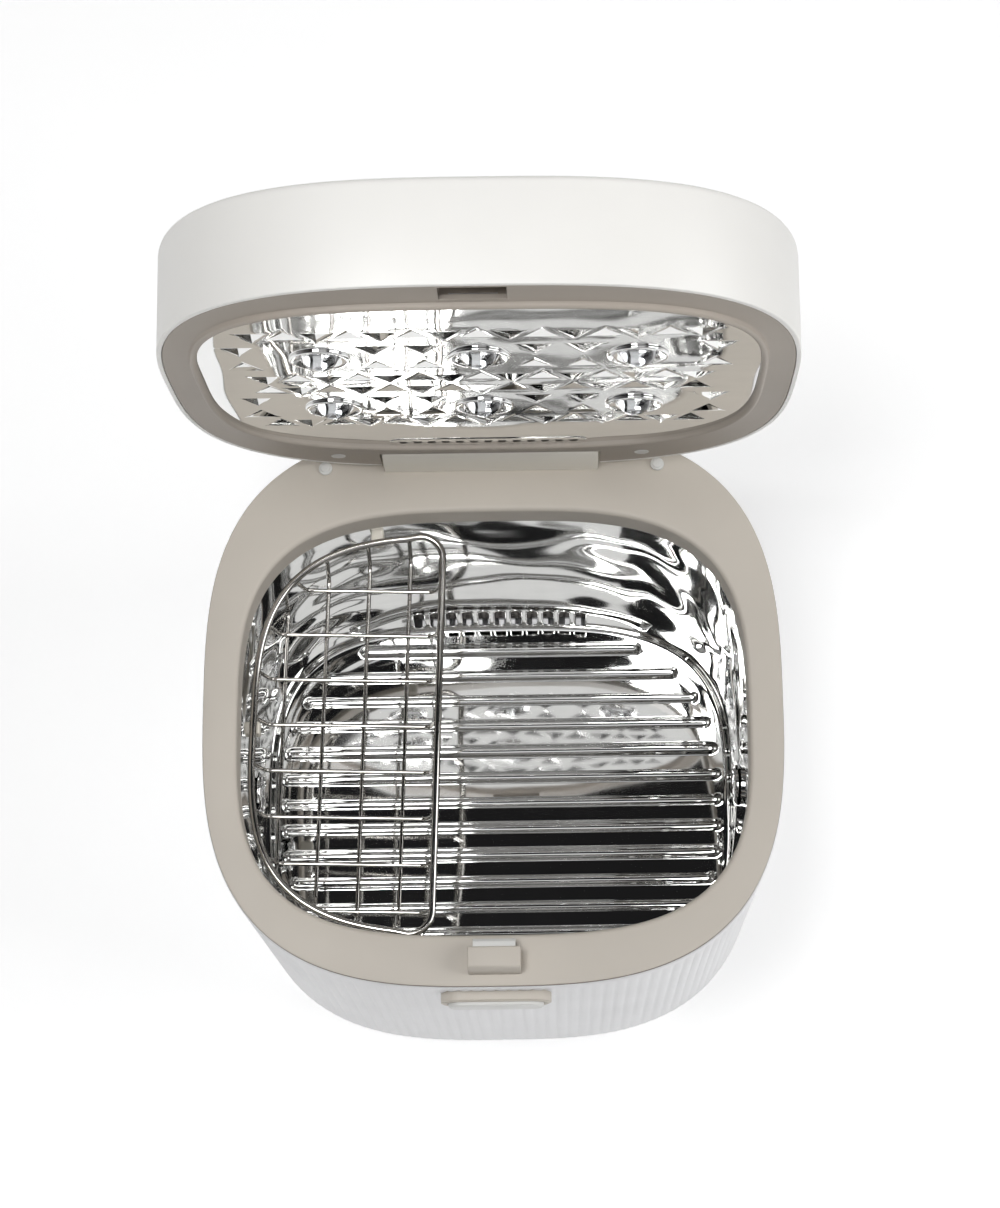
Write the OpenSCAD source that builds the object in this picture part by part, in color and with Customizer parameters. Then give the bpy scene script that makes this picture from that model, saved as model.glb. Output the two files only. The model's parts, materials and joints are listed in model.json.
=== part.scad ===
// Top-loading steriliser and dryer for bottles: a fluted tub-shaped base with a polished steel
// chamber, a half-width wire rack, a sprung front latch, and a hinged lid with six domed lamps.
// Millimetres, +Z up, front towards -Y. The origin is on the resting plane, under the base's centre.

/* [Body] */
// Width of the base and lid across X
body_w = 320; // [300:1:340]
// Depth of the base and lid along Y
body_d = 318.8; // [300:1:340]
// Squareness of the plan outline: 2 is an ellipse, higher is squarer
plan_n = 3.0; // [2.8:0.1:3.4]
// Height of the deck above the resting plane
deck_z = 228; // [220:1:240]
// Bottom outline as a share of the top outline
taper = 0.982; // [0.97:0.001:1]
// Thickness of the moulded walls
wall = 2.4; // [2:0.1:3]
// Height of the rubber foot ring
foot_h = 3; // [2:0.5:5]

/* [Chamber] */
// Width of the deck opening
open_w = 281; // [270:1:285]
// Depth of the deck opening
open_d = 240; // [230:1:245]
// Squareness of the opening and the steel tub
open_n = 3.3; // [3:0.1:3.6]
// Offset of the opening from the body's centre along Y
open_y = -11; // [-13:0.5:-9]
// Depth of the deck's inner lip
lip_h = 19.5; // [15:0.5:22]
// Depth of the chamber floor below the deck
floor_depth = 190; // [185:1:192]
// Number of ribs pressed into the floor
floor_ribs = 13; // [9:1:13]
// Spacing of the floor ribs
rib_pitch = 16.2; // [14:0.1:17]
// Number of air slots low in the rear wall
air_slots = 11; // [7:1:12]

/* [Rack] */
// Diameter of the rack's frame wire
frame_wire = 4.2; // [3:0.1:5]
// Diameter of the rack's grid wires
grid_wire = 2.4; // [2:0.1:3]
// Depth of the rack's basket below its frame
basket_h = 21; // [16:1:26]
// Turn of the rack about the vertical, as it lies on its pegs
rack_turn = -1.7; // [-2:0.1:0]

/* [Lid] */
// Thickness of the lid
lid_h = 53; // [48:1:60]
// Gap between the closed lid and the deck
lid_gap = 4; // [3.5:0.1:4.5]
// Angle at which the open lid stands
lid_open = 85; // [80:1:86]
// Hinge axis position along Y
hinge_y = 146.2; // [146:0.1:147]
// Hinge axis height above the deck
hinge_h = 16.5; // [16:0.1:17]
// Radius of the clear well round the hinge
well_r = 19; // [18.8:0.1:19.2]

/* [Latch] */
// Travel of the release button
button_travel = 3.5; // [3:0.1:3.6]
// Height of the button's centre below the deck
button_drop = 26; // [25:0.5:27]

/* [Hidden] */
$fn = 48;
eps = 0.5;

shell_h = deck_z - foot_h - 3.3;
deck_t = 3;
outline_steps = 96;
tub_t = 1.2;
tub_top = [open_w / 2 + 1.2, open_d / 2 + 1.5];
tub_floor = [open_w / 2 - 0.5, 112];
tub_floor_y = -15;
tub_rim_z = -lip_h - 0.8;
slot_pitch = 10;
side_lamp = [-27, -104];
duct_x = 66;
blower = [0, -84];
inlet_half = 44;
socket_x = 84;
socket_z = 34;
front_y = -body_d / 2;
tower_h = 13.6;
tongue_z = 7.6;
rocker = [-143.5, -19];
slot_front = rocker[0] - 3.5 - button_travel;
tower_y = [slot_front - 2.3, -139.6];
rocker_arm = 12;
cover_y = [132.5, 157.4];
cover_h = 28;
cover_half = 60;
rim = [142.5, 124.8];
rim_y = -10.2;
rim_t = 3.4;
ring_t = 2.5;
lamp_x = 77.8;
lamp_y = [-51, 35.2];
lens_r = 9;
plug_at = [84, 134];
arm_x = 66;
peg_at = [[-66, 104.5, 90], [-136.5, -8, 180], [-72, -125.6, -90]];

white = [0.87, 0.87, 0.88];
cream = [0.82, 0.80, 0.76];
taupe = [0.75, 0.72, 0.68];
steel = [0.80, 0.81, 0.82];
dark = [0.16, 0.16, 0.17];
green = [0.10, 0.35, 0.20];

// Points of a squarish ellipse of half sizes a and b
function squircle(a, b, n) = [
    for (i = [0 : outline_steps - 1])
        let (t = 360 * (i + 0.5) / outline_steps, c = cos(t), s = sin(t))
            [a * sign(c) * pow(abs(c), 2 / n), b * sign(s) * pow(abs(s), 2 / n)]
];

// Distance of a squarish ellipse's rim from its X axis at x
function squircle_y(a, b, n, x) = b * pow(1 - pow(abs(x) / a, n), 1 / n);

// Points of an arc from angle t0 to t1, in steps
function arc(c, r, t0, t1, steps = 6) = [
    for (i = [0 : steps]) let (t = t0 + (t1 - t0) * i / steps) [c[0] + r * cos(t), c[1] + r * sin(t)]
];

module slab(a, b, n, z0, z1, y = 0)
    translate([0, y, z0]) linear_extrude(z1 - z0) polygon(squircle(a, b, n));

// Ring between the outline a, b and the same outline grown inwards by t
module band(a, b, n, t, z0, z1, y = 0)
    difference() {
        slab(a, b, n, z0, z1, y);
        slab(a - t, b - t, n, z0 - eps, z1 + eps, y);
    }

// Upright prism of the body's plan, inset, tapering from the top down
module tapered_plan(inset, z0, h)
    translate([0, 0, z0]) linear_extrude(h, scale = 1 / taper)
        polygon(squircle(body_w / 2 * taper - inset, body_d / 2 * taper - inset, plan_n));

// A profile drawn in Y and Z, extruded along X about the middle
module along_x(half, points)
    rotate([90, 0, 90]) translate([0, 0, -half]) linear_extrude(2 * half) polygon(points);

// Box from its lowest to its highest corner
module span(lo, hi) translate(lo) cube(hi - lo);

// Flat pill with its round ends along X, facing -Y, from y0 to y1
module pill(w, h, y0, y1)
    translate([0, y1, 0]) rotate([90, 0, 0]) linear_extrude(y1 - y0) union() {
        square([w - h, h], center = true);
        for (s = [-1, 1]) translate([s * (w - h) / 2, 0]) circle(d = h);
    }

module at_deck() translate([0, 0, deck_z]) children();

// Places a piece drawn with the lid closed, where Z is measured from the deck
module at_lid()
    translate([0, hinge_y, deck_z + hinge_h]) rotate([-lid_open, 0, 0])
        translate([0, -hinge_y, -hinge_h]) children();

module at_corners(x, y) for (sx = [-1, 1], sy = [-1, 1]) translate([sx * x, sy * y, 0]) children();

module at_lamps() for (x = [-lamp_x, 0, lamp_x], y = lamp_y) translate([x, y, 0]) children();

module drum(r, z0, z1, at = [0, 0]) translate([at[0], at[1], z0]) cylinder(r = r, h = z1 - z0);

// Cylinder along X from x0 to x1, at a point in Y and Z
module rod_x(r, x0, x1, at) translate([x0, at[0], at[1]]) rotate([0, 90, 0]) cylinder(r = r, h = x1 - x0);

// Cylinder along Y from y0 to y1, at a point in X and Z
module rod_y(r, y0, y1, at) translate([at[0], y1, at[1]]) rotate([90, 0, 0]) cylinder(r = r, h = y1 - y0);

// ---- Base: casing ----

module base_shell() color(white) {
    boss = 116;
    difference() {
        tapered_plan(0, foot_h, shell_h);
        difference() {
            tapered_plan(wall, foot_h - eps, shell_h + 2 * eps);
            for (sx = [-1, 1], sy = [-1, 1]) translate([sx * boss, sy * boss, foot_h + 3.2])
                rotate(45 * sx * sy) translate([sx > 0 ? 2 : -14, -1.5, 0]) cube([12, 3, 20]);
        }
        translate([0, 0, deck_z - button_drop]) pill(60.4, 22.4, front_y - 5, front_y + 12);
        span([-inlet_half, 140, deck_z + blower[1] - inlet_half],
             [inlet_half, 170, deck_z + blower[1] + inlet_half]);
        span([socket_x - 13, 120, socket_z - 10], [socket_x + 13, 170, socket_z + 10]);
    }
    at_corners(boss, boss) difference() {
        drum(5, foot_h + 3.2, foot_h + 23);
        drum(1.6, foot_h + 3, foot_h + 18);
    }
}

module base_plate() color(white) difference() {
    union() {
        slab(body_w / 2 * taper - wall - 0.4, body_d / 2 * taper - wall - 0.4, plan_n, foot_h, foot_h + 3);
        at_corners(48, 33) drum(3.5, foot_h + 3, foot_h + 8);
    }
    at_corners(116, 116) {
        drum(1.8, 0, foot_h + 4);
        drum(3.6, foot_h - eps, foot_h + 1.6);
    }
    at_corners(48, 33) drum(1.2, foot_h + 4, foot_h + 9);
    for (i = [-7 : 7]) span([i * 7 - 1.6, 78, 0], [i * 7 + 1.6, 112, foot_h + 4]);
}

module foot_ring() color(dark) band(128, 126, plan_n, 9, 0, foot_h);

module base_screws() color(steel) at_corners(116, 116) {
    drum(3.2, foot_h + 0.1, foot_h + 1.6);
    drum(1.5, foot_h + 1.6, foot_h + 14);
}

module deck_ring() color(taupe) at_deck() difference() {
    union() {
        slab(body_w / 2 - 0.5, body_d / 2 - 0.5, plan_n, -deck_t, 0);
        slab(open_w / 2 + 2.2, open_d / 2 + 2.2, open_n, -lip_h, -deck_t, open_y);
        band(body_w / 2 - wall - 0.6, body_d / 2 - wall - 0.6, plan_n, 2, -9, -deck_t);
    }
    slab(open_w / 2, open_d / 2, open_n, -lip_h - eps, eps, open_y);
    span([-6, slot_front, -10], [6, rocker[0] + 1, eps]);
    span([-62, -170, -20], [62, -150, -deck_t]);
}

// ---- Base: chamber ----

module tub_solid(grow, extra)
    hull() {
        slab(tub_top[0] + grow, tub_top[1] + grow, open_n, tub_rim_z - 1 + extra, tub_rim_z + extra, open_y);
        slab(tub_floor[0] + grow, tub_floor[1] + grow, open_n, -floor_depth - grow, 1 - floor_depth - grow,
             tub_floor_y);
    }

module chamber_liner() color(steel) at_deck() {
    difference() {
        union() {
            tub_solid(tub_t, 0);
            slab(tub_top[0] + 5, tub_top[1] + 5, open_n, tub_rim_z - 1.2, tub_rim_z, open_y);
        }
        tub_solid(0, eps);
        for (i = [0 : air_slots - 1]) let (x = (i - (air_slots - 1) / 2) * slot_pitch) {
            span([x - 3.6, 90, -184], [x + 3.6, 112, -166]);
            rod_y(3.6, 90, 112, [x, -184]);
            rod_y(3.6, 90, 112, [x, -166]);
        }
        rod_x(10, -160, 160, side_lamp);
    }
    for (i = [0 : floor_ribs - 1]) let (y = 81.6 - rib_pitch * i)
        floor_rib(y, min(131, squircle_y(tub_floor[1], 141, 2.7, y - tub_floor_y) - 10));
}

module floor_rib(y, half) translate([0, y, -floor_depth]) {
    span([-half, -3, -0.2], [half, 3, 2.6]);
    for (s = [-1, 1]) drum(3, -0.2, 2.6, [s * half, 0]);
}

module slot_mesh() color(dark) at_deck() difference() {
    span([-60, 102, -188], [60, 103, -152]);
    for (i = [-14 : 14], j = [0 : 7]) rod_y(1.3, 100, 105, [i * 4, -184.5 + 4 * j]);
}

module rack_pegs() color(cream) at_deck() for (p = peg_at)
    translate([p[0], p[1], tub_rim_z - 8.6]) rotate(p[2]) span([-5.5, -3.5, -6.2], [3.4, 3.5, 2.8]);

module side_lens_rings() color(steel) at_deck() for (s = [-1, 1]) difference() {
    union() {
        rod_x(12, min(s * 137.6, s * 139.2), max(s * 137.6, s * 139.2), side_lamp);
        rod_x(9.8, min(s * 138, s * 146), max(s * 138, s * 146), side_lamp);
    }
    rod_x(7.6, -160, 160, side_lamp);
}

module side_lenses() color([0.9, 0.93, 0.95, 0.5]) at_deck() for (s = [-1, 1])
    translate([s * 145.6, side_lamp[0], side_lamp[1]]) rotate([0, -90 * s, 0])
        rotate_extrude() polygon(concat([[0, 0], [7.4, 0], [7.4, 5]], arc([0, 5], 7.4, 20, 82), [[0, 12.4]]));

module side_lamp_boards() color(green) at_deck() for (s = [-1, 1])
    span([s * 147.2 - 0.8, side_lamp[0] - 11, side_lamp[1] - 11],
         [s * 147.2 + 0.8, side_lamp[0] + 11, side_lamp[1] + 11]);

module deck_bumpers() color(white) at_deck() for (s = [-1, 1]) {
    drum(3.8, 0, 1.6, [s * 93.5, 135]);
    drum(2.6, 1.6, 2.4, [s * 93.5, 135]);
}

// ---- Base: latch ----

module latch_tower() color(taupe) at_deck() difference() {
    along_x(14.2, concat([[tower_y[0], 0]], arc([tower_y[0] + 3.4, tower_h - 1.6], 1.6, 180, 90),
                         arc([tower_y[1] - 1, tower_h - 1], 1, 90, 0), [[tower_y[1], 0]]));
    span([-12, slot_front, -eps], [12, tower_y[1] + eps, tongue_z + 3.5]);
}

module latch_tongue() color(white) at_deck() {
    stem = rocker[0] - 1.4;
    along_x(11.4, [[stem - 1.2, tongue_z], [stem - 1.2, tongue_z + 3], [-136.6, tongue_z + 3],
                   [-134.9, tongue_z + 1.4], [-134.9, tongue_z]]);
    span([-3, stem - 1.8, -13], [3, stem, tongue_z + 0.5]);
}

module rocker_bracket() color(dark) at_deck() {
    span([-12, -142, -5.5], [12, -139.9, -deck_t]);
    for (s = [-1, 1]) difference() {
        along_x_at(s * 11, 1, [[-147.4, -deck_t], [-147.4, -22], [-140, -22], [-140, -deck_t]]);
        rod_x(1.5, -13, 13, rocker);
    }
    for (s = [-1, 1]) {
        span([min(s * 12, s * 23), -142, -33], [max(s * 12, s * 23), -140, -deck_t]);
    }
}

module along_x_at(x, half, points) translate([x, 0, 0]) along_x(half, points);

module rocker_pin() color(steel) at_deck() rod_x(1.5, -12.5, 12.5, rocker);

module release_rocker() color(dark) at_deck() difference() {
    union() {
        rod_x(3.6, -8, 8, rocker);
        span([-3, rocker[0] - 0.8, rocker[1]], [3, rocker[0] + 1.4, rocker[1] + rocker_arm + 1]);
        span([-3, rocker[0] - 0.8, rocker[1] - rocker_arm - 1], [3, rocker[0] + 1.4, rocker[1]]);
    }
    rod_x(1.55, -9, 9, rocker);
}

module release_bezel() color(taupe) translate([0, 0, deck_z - button_drop]) difference() {
    union() {
        pill(60, 22, front_y - 4.4, front_y + 2.9);
        pill(57.4, 19.4, front_y - 5, front_y - 4.4);
    }
    pill(52.8, 15, front_y - 6, front_y + 4);
}

module release_button() color(white) translate([0, 0, deck_z - button_drop]) {
    pill(51.8, 14, front_y - 6.6, front_y + 3.4);
    pill(50, 12.2, front_y - 7.2, front_y - 6.6);
    pill(56, 18, front_y + 3.3, front_y + 4.9);
    span([-3, front_y + 4.8, -7.6], [3, rocker[0] - 1.4, -4.2]);
}

module release_spring() color(steel) translate([0, 0, deck_z - button_drop]) {
    seat = front_y + 5.2;
    for (s = [-1, 1]) translate([s * 18, -142.3, 0]) rotate([90, 0, 0]) coil(3.6, 0.5, -142.3 - seat, 6);
}

// Closed sleeve with the scalloped outline of a helical spring
module coil(r, wire, length, turns) rotate_extrude() polygon(concat(
    [[r - 2 * wire, 0]],
    [for (i = [0 : 6 * turns]) [r - wire * (1 - cos(360 * i / 6)) / 2, length * i / (6 * turns)]],
    [[r - 2 * wire, length]]));

// ---- Base: hinge ----

module hinge_cover() color(cream) at_deck() difference() {
    along_x(cover_half, cover_profile(0));
    along_x(cover_half - 2, cover_profile(2));
    rod_x(3.3, -70, 70, [hinge_y, hinge_h]);
}

function cover_profile(t) = concat(
    [[cover_y[0] + t, t > 0 ? -eps : 0]],
    arc([cover_y[0] + 2.6, cover_h - 2.6], 2.6 - t, 180, 90),
    arc([cover_y[1] - 5, cover_h - 5], 5 - t, 90, 0),
    [[cover_y[1] - t, t > 0 ? -eps : 0]]);

module hinge_block() color(dark) at_deck() {
    span([-56, 137, 0], [56, 154.6, 3]);
    for (s = [-1, 1]) difference() {
        union() {
            along_x_at(s * 49, 6.5, [[138, 3], [hinge_y - 7, hinge_h], [hinge_y + 7, hinge_h], [154.4, 3]]);
            rod_x(7, s * 49 - 6.5, s * 49 + 6.5, [hinge_y, hinge_h]);
        }
        rod_x(3, -70, 70, [hinge_y, hinge_h]);
    }
    for (s = [-1, 1]) difference() {
        rod_x(5, s * 13 - 4, s * 13 + 4, [hinge_y, hinge_h]);
        rod_x(3, -70, 70, [hinge_y, hinge_h]);
    }
    for (s = [-1, 1]) span([s * 13 - 4, hinge_y - 3, 3], [s * 13 + 4, hinge_y + 3, hinge_h - 4]);
}

module hinge_pins() color(steel) at_deck() for (s = [-1, 1])
    rod_x(3, min(s * 9, s * 67.8), max(s * 9, s * 67.8), [hinge_y, hinge_h]);

module hinge_springs() color(steel) at_deck() for (s = [-1, 1])
    translate([s * 30 - 11, hinge_y, hinge_h]) rotate([0, 90, 0]) coil(6.2, 1.2, 22, 9);

// ---- Base: air path and power ----

module air_duct() color(dark) at_deck() difference() {
    span([-duct_x, 108.2, -192], [duct_x, 140, -142]);
    span([-duct_x + 2, 108, -190], [duct_x - 2, 138, -144]);
    span([13, 112, -150], [47, 136, -140]);
}

module heater() color(steel) at_deck() {
    difference() {
        span([-44, 112, -186], [44, 132, -156]);
        span([-41, 110, -183], [41, 134, -159]);
    }
    for (i = [-6 : 6]) span([i * 6 - 0.6, 112, -183.2], [i * 6 + 0.6, 132, -158.8]);
}

module blower_housing() color(dark) at_deck() difference() {
    union() {
        rod_y(50, 111.4, 146, blower);
        span([12, 111.4, -142], [49.5, 137.4, blower[1]]);
    }
    rod_y(47.6, 113, 144, blower);
    span([14, 113, -143], [47, 135.4, blower[1]]);
    rod_y(27, 140, 150, blower);
}

module blower_motor() color(steel) at_deck() {
    rod_y(15, 113, 128, blower);
    rod_y(1.5, 128, 139, blower);
}

module blower_wheel() color([0.35, 0.36, 0.38]) at_deck() difference() {
    union() {
        rod_y(18, 128.6, 134.8, blower);
        rod_y(40, 115.2, 117.2, blower);
        difference() {
            rod_y(40, 139, 141, blower);
            rod_y(30, 138, 142, blower);
        }
        for (i = [0 : 21]) translate([blower[0], 0, blower[1]]) rotate([0, i * 360 / 22, 0])
            translate([34.5, 117, 0]) rotate([0, 28, 0]) span([-5.6, -0.2, -0.8], [5.6, 22.2, 0.8]);
        difference() {
            rod_y(18, 115.2, 129, blower);
            rod_y(16.2, 115, 128.6, blower);
        }
    }
    rod_y(16.2, 115, 128.6, blower);
    rod_y(1.55, 120, 142, blower);
}

module air_filter() color([0.80, 0.80, 0.78]) at_deck()
    span([-40, 147, blower[1] - 40], [40, 151, blower[1] + 40]);

module inlet_grille() color(white) at_deck() difference() {
    union() {
        span([-inlet_half + 0.3, 152.4, blower[1] - inlet_half + 0.3],
             [inlet_half - 0.3, 156.4, blower[1] + inlet_half - 0.3]);
    }
    for (i = [-6 : 6]) span([-36, 150, blower[1] + i * 6 - 1.6], [36, 160, blower[1] + i * 6 + 1.6]);
}

module power_board() color(green) {
    difference() {
        span([-54, -39, foot_h + 8], [54, 39, foot_h + 9.6]);
        at_corners(48, 33) drum(1.6, foot_h + 7, foot_h + 11);
    }
    span([-34, -20, foot_h + 9.6], [-6, 8, foot_h + 26]);
    for (i = [0 : 2]) drum(5, foot_h + 9.6, foot_h + 24, [6 + 13 * i, -14]);
    span([4, 6, foot_h + 9.6], [38, 22, foot_h + 20]);
}

module power_inlet() color(dark) difference() {
    span([socket_x - 12.6, 128, socket_z - 9.6], [socket_x + 12.6, socket_face, socket_z + 9.6]);
    translate([socket_x, 0, socket_z]) pill(18, 9, socket_face - 12, socket_face + 1);
}
socket_face = squircle_y(body_w / 2, body_d / 2, plan_n, socket_x + 13) * 0.982;

// ---- Rack ----

rack_right = -31.5;
function rack_edge_y(x) = squircle_y(open_w / 2 - 5.5, open_d / 2 - 5, open_n, x);
function rack_edge_x(y) = -squircle_y(open_d / 2 - 5, open_w / 2 - 5.5, open_n, y - open_y);

function unit(v) = v / norm(v);

// Faceted wire along points that lie in one plane, whose unit normal is b
module tube(p, d, b, closed = false, sides = 8) {
    n = len(p);
    last = closed ? n - 1 : n - 2;
    points = [for (i = [0 : n - 1])
        let (from = closed || i > 0 ? unit(p[i] - p[(i + n - 1) % n]) : unit(p[1] - p[0]),
             to = closed || i < n - 1 ? unit(p[(i + 1) % n] - p[i]) : from,
             t = unit(from + to), w = cross(b, t) / (t * from))
        for (j = [0 : sides - 1]) let (a = 360 * (j + 0.5) / sides) p[i] + d / 2 * (cos(a) * w + sin(a) * b)];
    skin = [for (i = [0 : last], j = [0 : sides - 1]) let (k = (i + 1) % n, m = (j + 1) % sides)
        [k * sides + j, k * sides + m, i * sides + m, i * sides + j]];
    caps = closed ? [] : [[for (j = [0 : sides - 1]) j], [for (j = [sides - 1 : -1 : 0]) (n - 1) * sides + j]];
    polyhedron(points, concat(skin, caps), convexity = 4);
}

module at_rack() at_deck() translate([-80, -10, 0]) rotate(rack_turn) translate([80, 10, 0]) children();

rack_z = tub_rim_z - 3.4;
rack_corner = 13;
rack_left = [for (t = [98 : 12 : 262]) let (c = cos(t), s = sin(t))
    [(open_w / 2 - 6) * sign(c) * pow(abs(c), 2 / open_n),
     open_y + (open_d / 2 - 6) * sign(s) * pow(abs(s), 2 / open_n)]];
// The rack's frame outline: a D that follows the opening, with a straight right side
rack_outline = concat(
    [for (p = rack_left) if (p[0] < rack_right - rack_corner - 4) p],
    arc([rack_right - rack_corner, open_y - open_d / 2 + 6 + rack_corner], rack_corner, 270, 360, 4),
    arc([rack_right - rack_corner, open_y + open_d / 2 - 6 - rack_corner], rack_corner, 0, 90, 4));

module rack_frame() color(steel) at_rack()
    tube([for (p = rack_outline) [p[0], p[1], rack_z]], frame_wire, [0, 0, 1], closed = true, sides = 10);

module rack_grid() color(steel) at_rack() {
    z0 = rack_z - frame_wire / 2 - 0.9;
    z1 = rack_z - basket_h;
    for (x = [-120, -97.5, -74.3, -51]) let (r = rack_edge_y(x) - 1.5)
        tube([[x, open_y + r, z0], [x, open_y + r - 6, z1], [x, open_y - r + 6, z1], [x, open_y - r, z0]],
             grid_wire, [1, 0, 0]);
    for (i = [0 : 7]) let (y = 75.8 - 26.5 * i, l = rack_edge_x(y) + 1.2, z2 = z1 + grid_wire - 0.3)
        tube([[l, y, z0], [l + 5, y, z2], [rack_right - 5, y, z2], [rack_right, y, z0]], grid_wire, [0, 1, 0]);
}

// ---- Lid, drawn closed ----

lid_a = body_w / 2 - 0.6;
lid_b = body_d / 2;
lid_top = lid_gap + lid_h;

module hinge_well(r, half) rod_x(r, -half, half, [hinge_y, hinge_h]);

module lid_shell() color(white) at_lid() difference() {
    union() {
        slab(lid_a, lid_b, plan_n, lid_gap, lid_top - 4);
        translate([0, 0, lid_top - 4]) linear_extrude(4, scale = 0.965) polygon(squircle(lid_a, lid_b, plan_n));
    }
    slab(lid_a - wall, lid_b - wall, plan_n, lid_gap - eps, lid_top - wall);
    hinge_well(well_r, cover_half + 1.2);
    span([-cover_half - 1.2, hinge_y, lid_gap - 1], [cover_half + 1.2, 170, hinge_h]);
    span([-64, -128, lid_top - 1], [64, -86, lid_top + eps]);
}

module lid_ring() color([0.62, 0.59, 0.55]) at_lid() difference() {
    union() {
        slab(lid_a - wall - 0.3, lid_b - wall - 0.3, plan_n, lid_gap, lid_gap + ring_t);
        slab(rim[0], rim[1], open_n, 0.6, lid_gap + 4, rim_y);
        span([-17.4, -156.4, lid_gap + 1], [17.4, -131.8, lid_gap + 14.6]);
        intersection() {
            hinge_well(well_r + 2, cover_half + 3);
            span([-70, 120, lid_gap + 1], [70, hinge_y - 2, 40]);
        }
    }
    slab(rim[0] - rim_t, rim[1] - rim_t, open_n, -eps, lid_gap + 5, rim_y);
    span([-15.8, -155, lid_gap + ring_t], [15.8, -133.3, lid_gap + 13.2]);
    span([-15.8, -155, 0], [15.8, -138, lid_gap + ring_t + 1]);
    hinge_well(well_r, cover_half + 1.2);
    span([-cover_half - 4, hinge_y - 5, hinge_h - 5], [cover_half + 4, hinge_y + 5, hinge_h + 5]);
    span([-cover_half - 1.2, hinge_y - 6, 0], [cover_half + 1.2, 170, hinge_h]);
    for (s = [-1, 1]) {
        drum(4.1, lid_gap - eps, lid_gap + 1.4, [s * plug_at[0], plug_at[1]]);
        drum(1.6, 0, 12, [s * plug_at[0], plug_at[1]]);
    }
}

module lid_plugs() color(white) at_lid() for (s = [-1, 1])
    drum(4, lid_gap - 0.3, lid_gap + 1.2, [s * plug_at[0], plug_at[1]]);

module latch_keeper() color(steel) at_lid()
    span([-11.4, -137.8, lid_gap + ring_t], [11.4, -133.8, lid_gap + ring_t + 0.7]);

module hinge_arms() color(dark) at_lid() for (s = [-1, 1]) difference() {
    union() {
        rod_x(5.6, s * arm_x - 2.4, s * arm_x + 2.4, [hinge_y, hinge_h]);
        along_x_at(s * arm_x, 2.4, [[hinge_y - 5.4, hinge_h + 1.6], [hinge_y + 3, hinge_h - 4.6],
                                    [hinge_y + 3, lid_gap + ring_t], [118, lid_gap + ring_t],
                                    [118, lid_gap + ring_t + 3]]);
        span([min(s * 64, s * 76), 118, lid_gap + ring_t], [max(s * 64, s * 76), 128, lid_gap + ring_t + 2.4]);
    }
    rod_x(3.05, -80, 80, [hinge_y, hinge_h]);
}

module reflector_plate() color(steel) at_lid() difference() {
    union() {
        slab(rim[0] - rim_t - 0.3, rim[1] - rim_t - 0.3, open_n, 3.4, 4.4, rim_y);
        span([-54, 95.6, 2.8], [54, 108.4, 4.4]);
    }
    at_lamps() drum(13, 0, 6);
    for (i = [-6 : 6]) span([i * 7.7 - 2.4, 101.6, 0], [i * 7.7 + 2.4, 106.6, 6]);
}

module lens_rings() color(steel) at_lid() at_lamps() difference() {
    union() {
        drum(15.2, 1.8, 3.3);
        drum(12.8, 3.3, 7);
    }
    drum(lens_r + 0.2, 0, 8);
}

module lens_domes() color([0.9, 0.93, 0.95, 0.5]) at_lid() at_lamps() translate([0, 0, 7]) mirror([0, 0, 1])
    rotate_extrude() polygon(concat([[0, 0], [lens_r, 0]], arc([0, 0.6], 9.6, 20.4, 82, 8), [[0, 10.2]]));

module lamp_board() color(green) at_lid() difference() {
    span([-100, -72, 8], [100, 56, 9.6]);
    for (x = [-39, 39]) span([x - 22, -50, 7], [x + 22, 34, 11]);
}

module lid_screws() color(steel) at_lid() for (s = [-1, 1]) {
    drum(1.5, lid_gap + 1.6, lid_gap + 8, [s * plug_at[0], plug_at[1]]);
    drum(2.6, lid_gap + 8, lid_gap + 10, [s * plug_at[0], plug_at[1]]);
}

module touch_panel() color(dark) at_lid() span([-63.6, -127.6, lid_top - 1], [63.6, -86.4, lid_top - 0.1]);

module control_board() color(green) at_lid() {
    span([-58, -122, lid_top - 11], [58, -90, lid_top - 9.4]);
    for (i = [-2 : 2]) drum(4, lid_top - 9.4, lid_top - 4, [i * 24, -106]);
}

base_shell();
base_plate();
foot_ring();
base_screws();
deck_ring();
chamber_liner();
slot_mesh();
rack_pegs();
side_lens_rings();
side_lenses();
side_lamp_boards();
deck_bumpers();
latch_tower();
rocker_bracket();
rocker_pin();
release_bezel();
release_spring();
hinge_cover();
hinge_block();
hinge_pins();
hinge_springs();
air_duct();
heater();
blower_housing();
blower_motor();
air_filter();
inlet_grille();
power_board();
power_inlet();
blower_wheel();
release_button();
release_rocker();
latch_tongue();
rack_frame();
rack_grid();
lid_shell();
lid_ring();
lid_plugs();
latch_keeper();
hinge_arms();
reflector_plate();
lens_rings();
lens_domes();
lamp_board();
lid_screws();
touch_panel();
control_board();
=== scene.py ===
"""Looks for the top-loading steriliser and dryer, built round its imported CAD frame.

Lengths in the shape code are millimetres in the part's own frame, with the lid's pieces drawn
closed and then turned about the hinge, as the part is. They become metres when a mesh is made.
"""

import json
import math
import random

import bmesh
import bpy
import numpy as np
from mathutils import Matrix, Vector
from mathutils.geometry import delaunay_2d_cdt

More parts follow.
